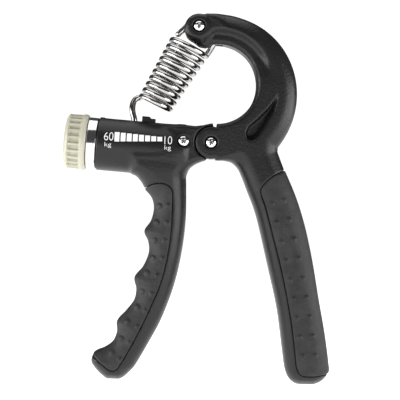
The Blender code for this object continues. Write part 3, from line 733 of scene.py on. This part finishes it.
def make_lead_screw():
    """A threaded rod at the pitch that the dial's coupling states."""
    ends = [(-11.0, 0), (-11.0, 1.45), (-10.6, 1.6), (-0.2, 1.6)]
    thread = [(-0.2 + 0.16 * k, THREAD_RADIUS) for k in range(203)]
    tail = [(32.3, 1.6), (37.8, 1.6), (38.0, 1.4), (38.0, 0)]

    def reach(along, radius, turn):
        if radius != THREAD_RADIUS:
            return radius
        wave = (along / THREAD_PITCH - turn / (2 * math.pi)) % 1.0
        return 1.62 + 0.36 * (1 - abs(2 * wave - 1)) ** 0.7

    rod = turned("threaded_lead_screw", ends + thread + tail, in_barrel(0, 0), barrel_axis(),
                 STEEL, segments=32, radius_at=reach)
    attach(rod, "dial_body")
    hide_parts("lead_screw")


def make_dial():
    axis = barrel_axis()
    start = in_barrel(0, 0)
    profile = rounded_profile([(-4.3, 2.3), (-4.3, 10.9), (-0.3, 10.9), (-0.3, 2.3)], 0.35)
    collar = turned("chrome_collar", profile, start, axis, CHROME, segments=128)
    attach(collar, "dial_body")
    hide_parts("dial_collar")

    # the fluted stretch is split finely enough to carry the flutes' ends
    fluted = -6.9
    outline = [
        (-4.6, 1.9), (-4.6, 11.5), (-5.1, 12.0), (-6.5, 12.0), (fluted, 11.75), (-11.9, 11.6),
        (-12.4, 11.75), (-13.1, 11.2), (-13.7, 10.1), (-13.9, 8.8), (-13.9, 6.4), (-12.5, 6.3),
        (-12.4, 3.4), (-11.0, 3.3), (-11.0, 1.9),
    ]
    profile = []
    for (a0, r0), (a1, r1) in zip(outline, outline[1:] + outline[:1]):
        steps = 26 if a0 == fluted else 3
        profile += [(a0 + (a1 - a0) * k / steps, r0 + (r1 - r0) * k / steps) for k in range(steps)]

    def pocket(along, radius, turn):
        if radius < 11.0:
            return radius
        window = smoothstep(-12.1, -11.5, along) * (1 - smoothstep(-7.6, -7.0, along))
        rib = 0.5 + 0.5 * math.cos(FLUTES * turn)
        return float(radius - 1.25 * window * smoothstep(0.16, 0.62, rib))

    knob = turned("fluted_knob", profile, start, axis, CREAM, segments=384, radius_at=pocket,
                  smooth_angle=50)
    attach(knob, "dial_body")
    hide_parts("dial_knob")

    profile = [(-12.7, 0), (-12.7, 6.0), (-13.6, 6.0), (-14.0, 5.7), (-14.3, 4.9), (-14.5, 3.0),
               (-14.55, 0)]
    profile = rounded_profile(profile, 0.25)
    cap = turned("knob_end_cap", profile, start, axis, CREAM, segments=96, smooth_angle=50)
    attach(cap, "dial_body")
    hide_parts("dial_cap")


# ---------------------------------------------------------------- fasteners


def make_screw(name, x, z, half_depth, side, body, node, turn, shank, length):
    """A domed chrome head with a cross recess, and its shank."""
    floor = half_depth - COUNTERBORE_DEPTH + 0.3
    top, radius = SCREW_HEAD_HEIGHT, SCREW_HEAD_RADIUS
    profile = [(length, 0), (length, shank - 0.2), (length - 0.3, shank), (top, shank)]
    profile.append((top, radius))
    for degrees in (90, 78, 66, 54, 42, 30, 18, 8):
        a = math.radians(degrees)
        profile.append((top - 0.05 - 1.25 * math.cos(a), radius * math.sin(a)))
    profile.append((0.0, 0))
    start = place(x, z, side * (floor + top))
    axis = Vector((0, -side, 0))
    head = turned(name, profile, start, axis, CHROME, segments=64, smooth_angle=40)

    # each arm of the cross tapers towards its floor
    half, wide, deep = 1.7 * MM, 0.42 * MM, 1.0 * MM
    ring = [(-1, -1), (1, -1), (1, 1), (-1, 1)]
    corners = [(a * half, side * deep, b * wide) for a, b in ring]
    corners += [(a * half * 0.45, -side * deep, b * wide * 0.7) for a, b in ring]
    faces = [(0, 1, 2, 3), (7, 6, 5, 4), (0, 4, 5, 1), (1, 5, 6, 2), (2, 6, 7, 3), (3, 7, 4, 0)]
    for quarter in (0, 90):
        spin = Matrix.Rotation(math.radians(turn + quarter), 4, "Y")
        tool = piece(f"{name}_tool", [start + spin @ Vector(c) for c in corners], faces, CHROME)
        face_outwards(tool)
        carve(head, tool)
    head.data.set_sharp_from_angle(angle=math.radians(40))
    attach(head, body)
    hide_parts(node)


def make_screws():
    main, hook = "main_lever_body", "hook_lever_body"
    pivot = (0, 0, HEAD_HALF_DEPTH)
    bearing = (*BEARING_SCREW, HEAD_HALF_DEPTH + 1.0)
    tip = (*HOOK_PIN, HOOK_TIP_HALF_DEPTH)
    make_screw("pivot_screw_head", *pivot, -1, hook, "pivot_screw", 25, 2.0, 13.0)
    make_screw("pivot_nut_head", *pivot, 1, hook, "pivot_nut", 10, 2.0, 3.6)
    make_screw("bearing_screw_head", *bearing, -1, main, "bearing_screw", 40, 1.5, 13.0)
    make_screw("bearing_nut_head", *bearing, 1, main, "bearing_nut", 70, 1.5, 4.6)
    make_screw("hook_screw_head", *tip, -1, hook, "hook_pin_screw", 5, 1.5, 9.0)
    make_screw("hook_nut_head", *tip, 1, hook, "hook_pin_nut", 50, 1.5, 3.6)


# ---------------------------------------------------------------- spring


def make_spring():
    """The coil with its upper loop, and the hook that reaches down to the anchor pin."""
    steps = 40
    count = round(COIL_TURNS * steps)
    coil = []
    for k in range(count + 1):
        turn = 2 * math.pi * k / steps
        radius = COIL_RADII[0] + (COIL_RADII[1] - COIL_RADII[0]) * k / count
        coil.append((COIL_START + COIL_PITCH * k / steps, -radius * math.cos(turn),
                     -radius * math.sin(turn)))
    top, radius = COIL_TOP, COIL_RADII[1]
    loop = [
        coil[-2], coil[-1], (top + 0.6, radius + 0.1, 1.3), (top + 2.0, radius + 0.3, 1.4),
        (top + 4.6, radius + 0.4, 0.4), (top + 6.6, radius + 0.1, 0), (26.3, 6.1, 0),
        (28.5, 3.4, 0), (29.8, 0.6, 0), (29.4, -2.3, 0), (26.4, -4.8, 0), (22.9, -5.7, 0),
        (20.2, -6.5, 0.2), (18.7, -7.0, 0.3),
    ]
    path = coil[:-2] + smooth(loop, 6)
    main = wire("spring_coil_wire", [on_coil(*p) for p in path], NICKEL)
    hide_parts("spring_coil", "spring_loop")
    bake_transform(main)

    radius = COIL_RADII[0]
    bend = WIRE_RADIUS + 1.0 + 0.15
    left = [on_coil(*coil[2]), on_coil(*coil[0]), on_coil(COIL_START - 0.5, -radius - 0.2, 1.6)]
    left += [place(-32.6, 18.4, 2.1), place(-33.8, 16.9, 1.8), place(-34.3, 14.8, 1.0),
             place(-34.1, 12.2, 0.3)]
    drop = [in_barrel(ANCHOR_S - bend, ANCHOR_N + h) for h in (5.0, 1.5)]
    turns = [math.radians(180 + 30 * k) for k in range(6)]
    under = [in_barrel(ANCHOR_S + bend * math.cos(a), ANCHOR_N + bend * math.sin(a))
             for a in turns]
    path = [Vector(p) for p in smooth([tuple(p) for p in left + drop + under], 8)]
    hook = wire("spring_hook_wire", path, NICKEL, first=0.97)
    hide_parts("spring_hook")
    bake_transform(hook)


# ---------------------------------------------------------------- print


def text_mesh(text, left, right, bottom, top):
    """Verts and faces of a text stretched into a box in the x-z plane, in mm."""
    curve = bpy.data.curves.new("figures", "FONT")
    curve.body = text
    curve.resolution_u = 6
    curve.fill_mode = "FRONT"
    curve.offset = -0.012
    carrier = bpy.data.objects.new("figures", curve)
    bpy.context.scene.collection.objects.link(carrier)
    bpy.context.view_layer.update()
    graph = bpy.context.evaluated_depsgraph_get()
    mesh = bpy.data.meshes.new_from_object(carrier.evaluated_get(graph))
    bpy.data.objects.remove(carrier, do_unlink=True)
    build = bmesh.new()
    build.from_mesh(mesh)
    bmesh.ops.triangulate(build, faces=build.faces)
    low = [min(v.co[a] for v in build.verts) for a in (0, 1)]
    high = [max(v.co[a] for v in build.verts) for a in (0, 1)]
    for v in build.verts:
        x = left + (v.co.x - low[0]) / (high[0] - low[0]) * (right - left)
        z = bottom + (v.co.y - low[1]) / (high[1] - low[1]) * (top - bottom)
        v.co = (x, 0, z)
    # short edges, so that the text follows the barrel's curve
    for _ in range(3):
        long = [e for e in build.edges if e.calc_length() > 0.5]
        bmesh.ops.subdivide_edges(build, edges=long, cuts=1)
        bmesh.ops.triangulate(build, faces=build.faces)
    verts = [tuple(v.co) for v in build.verts]
    build.verts.index_update()
    faces = [tuple(v.index for v in f.verts) for f in build.faces]
    build.free()
    return verts, faces


def bar_mesh(left, bottom, top):
    """Verts and faces of one bar of the scale, in mm."""
    columns, rows = 4, 5
    verts = [(left + BAR_WIDTH * i / columns, 0, bottom + (top - bottom) * j / rows)
             for j in range(rows + 1) for i in range(columns + 1)]
    faces = []
    for j in range(rows):
        for i in range(columns):
            a = j * (columns + 1) + i
            faces.append((a, a + 1, a + columns + 2, a + columns + 1))
    return verts, faces


def make_print(lever):
    """The scale on the barrel: figures at either end and bars of falling height between."""
    parts = [
        text_mesh("60", -45.2, -41.3, -0.4, 3.1), text_mesh("kg", -44.9, -42.1, -3.5, -1.2),
        text_mesh("10", -19.7, -16.5, -1.3, 2.1), text_mesh("kg", -19.6, -16.9, -4.2, -1.8),
    ]
    for k in range(BARS):
        t = k / (BARS - 1)
        parts.append(bar_mesh(-40.8 + BAR_STEP * k, -0.75 + 0.6 * t, 3.25 - 1.5 * t))
    tree = BVHTree.FromPolygons([v.co.copy() for v in lever.data.vertices],
                                [tuple(p.vertices) for p in lever.data.polygons])
    verts, faces = [], []
    for part_verts, part_faces in parts:
        first = len(verts)
        for x, _, z in part_verts:
            hit = tree.ray_cast(place(x, z, -20.0), Vector((0, 1, 0)))[0]
            verts.append(hit + Vector((0, -PRINT_RISE * MM, 0)))
        faces += [tuple(first + i for i in face) for face in part_faces]
    made = piece("scale_print", verts, faces, PRINT)
    build = bmesh.new()
    build.from_mesh(made.data)
    for face in build.faces:
        face.normal_update()
        if face.normal.y > 0:
            face.normal_flip()
    build.to_mesh(made.data)
    build.free()
    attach(made, "main_lever_body")


# ---------------------------------------------------------------- carried-over nodes


def finish_nodes():
    looks = {
        "pivot_bush": BRASS, "thrust_washer_front": ACETAL, "thrust_washer_back": ACETAL,
        "bearing_block": ACETAL, "barrel_bush": ACETAL, "carriage_nut": BRASS,
        "spring_anchor_pin": STEEL, "spring_bush": STEEL, "dial_screw": STEEL,
    }
    for node, material in looks.items():
        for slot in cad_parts[node].material_slots:
            slot.material = material


# ---------------------------------------------------------------- stage


def area_light(name, spot, width, height, power):
    """A soft rectangular light at a place in metres, aimed at the grip's middle."""
    data = bpy.data.lights.new(name, "AREA")
    data.shape = "RECTANGLE"
    data.size, data.size_y, data.energy = width, height, power
    lamp = bpy.data.objects.new(name, data)
    bpy.context.scene.collection.objects.link(lamp)
    lamp.visible_camera = False
    lamp.location = spot
    aim = Vector((0, 0, 0.08)) - Vector(spot)
    lamp.rotation_euler = aim.to_track_quat("-Z", "Y").to_euler()


def make_stage():
    """A pale floor, a white studio and four soft lights."""
    half = 2.5
    verts = [(a * half, b * half, FLOOR_LEVEL) for a, b in ((-1, -1), (1, -1), (1, 1), (-1, 1))]
    floor_look = look("floor_look", (0.92, 0.92, 0.92), 0.8, spread=0.01)
    shader = floor_look.node_tree.nodes["Principled BSDF"]
    shader.inputs["Emission Color"].default_value = (1, 1, 1, 1)
    shader.inputs["Emission Strength"].default_value = 0.85
    floor = piece("floor", verts, [(0, 1, 2, 3)], floor_look)

    # white behind the grip and as fill, dark in reflections
    world = bpy.data.worlds.new("studio")
    bpy.context.scene.world = world
    world.use_nodes = True
    nodes, links = world.node_tree.nodes, world.node_tree.links
    fill = nodes["Background"]
    white, dark = nodes.new("ShaderNodeBackground"), nodes.new("ShaderNodeBackground")
    for background, strength in ((fill, 0.24), (white, 1.1), (dark, 0.07)):
        background.inputs["Color"].default_value = (1, 1, 1, 1)
        background.inputs["Strength"].default_value = strength
    ray = nodes.new("ShaderNodeLightPath")
    glossy, camera = nodes.new("ShaderNodeMixShader"), nodes.new("ShaderNodeMixShader")
    links.new(ray.outputs["Is Glossy Ray"], glossy.inputs["Fac"])
    links.new(fill.outputs["Background"], glossy.inputs[1])
    links.new(dark.outputs["Background"], glossy.inputs[2])
    links.new(ray.outputs["Is Camera Ray"], camera.inputs["Fac"])
    links.new(glossy.outputs["Shader"], camera.inputs[1])
    links.new(white.outputs["Background"], camera.inputs[2])
    links.new(camera.outputs["Shader"], nodes["World Output"].inputs["Surface"])

    area_light("overhead", (-0.1, 0.0, 0.7), 0.7, 0.7, 2.6)
    area_light("left", (-0.55, -0.16, 0.06), 0.7, 0.45, 4.6)
    area_light("right", (0.55, -0.16, 0.04), 0.7, 0.45, 4.6)
    area_light("low", (0.0, -0.32, 0.005), 0.8, 0.16, 0.3)
    bpy.context.scene.view_settings.view_transform = "Standard"
    bpy.context.scene.view_settings.look = "None"


def make_camera():
    """Straight at the grip's front, and turned a little about its own axis."""
    distance, lens, sensor = 0.52, 108.5, 36.0
    rise = math.radians(1.0)
    target = Vector((0.0008, 0.0, 0.0787))
    data = bpy.data.cameras.new("camera")
    data.lens, data.sensor_width = lens, sensor
    camera = bpy.data.objects.new("camera", data)
    bpy.context.scene.collection.objects.link(camera)
    back = Vector((0, -math.cos(rise), math.sin(rise)))
    camera.location = target + back * distance
    aim = (-back).to_track_quat("-Z", "Y").to_matrix().to_4x4()
    roll = Matrix.Rotation(math.radians(1.66), 4, "Z")
    camera.matrix_world = Matrix.Translation(camera.location) @ aim @ roll
    bpy.context.scene.camera = camera


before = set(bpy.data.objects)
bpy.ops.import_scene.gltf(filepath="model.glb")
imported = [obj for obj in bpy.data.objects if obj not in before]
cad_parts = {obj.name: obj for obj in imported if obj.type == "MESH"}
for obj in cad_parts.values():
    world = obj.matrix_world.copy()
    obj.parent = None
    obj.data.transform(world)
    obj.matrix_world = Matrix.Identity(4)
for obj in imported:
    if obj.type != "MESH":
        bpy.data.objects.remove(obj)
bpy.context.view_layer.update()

make_camera()
make_stage()
main_lever = make_main_lever()
make_hook_lever()
make_grips()
make_carriage()
make_lead_screw()
make_dial()
make_screws()
make_spring()
make_print(main_lever)
finish_nodes()
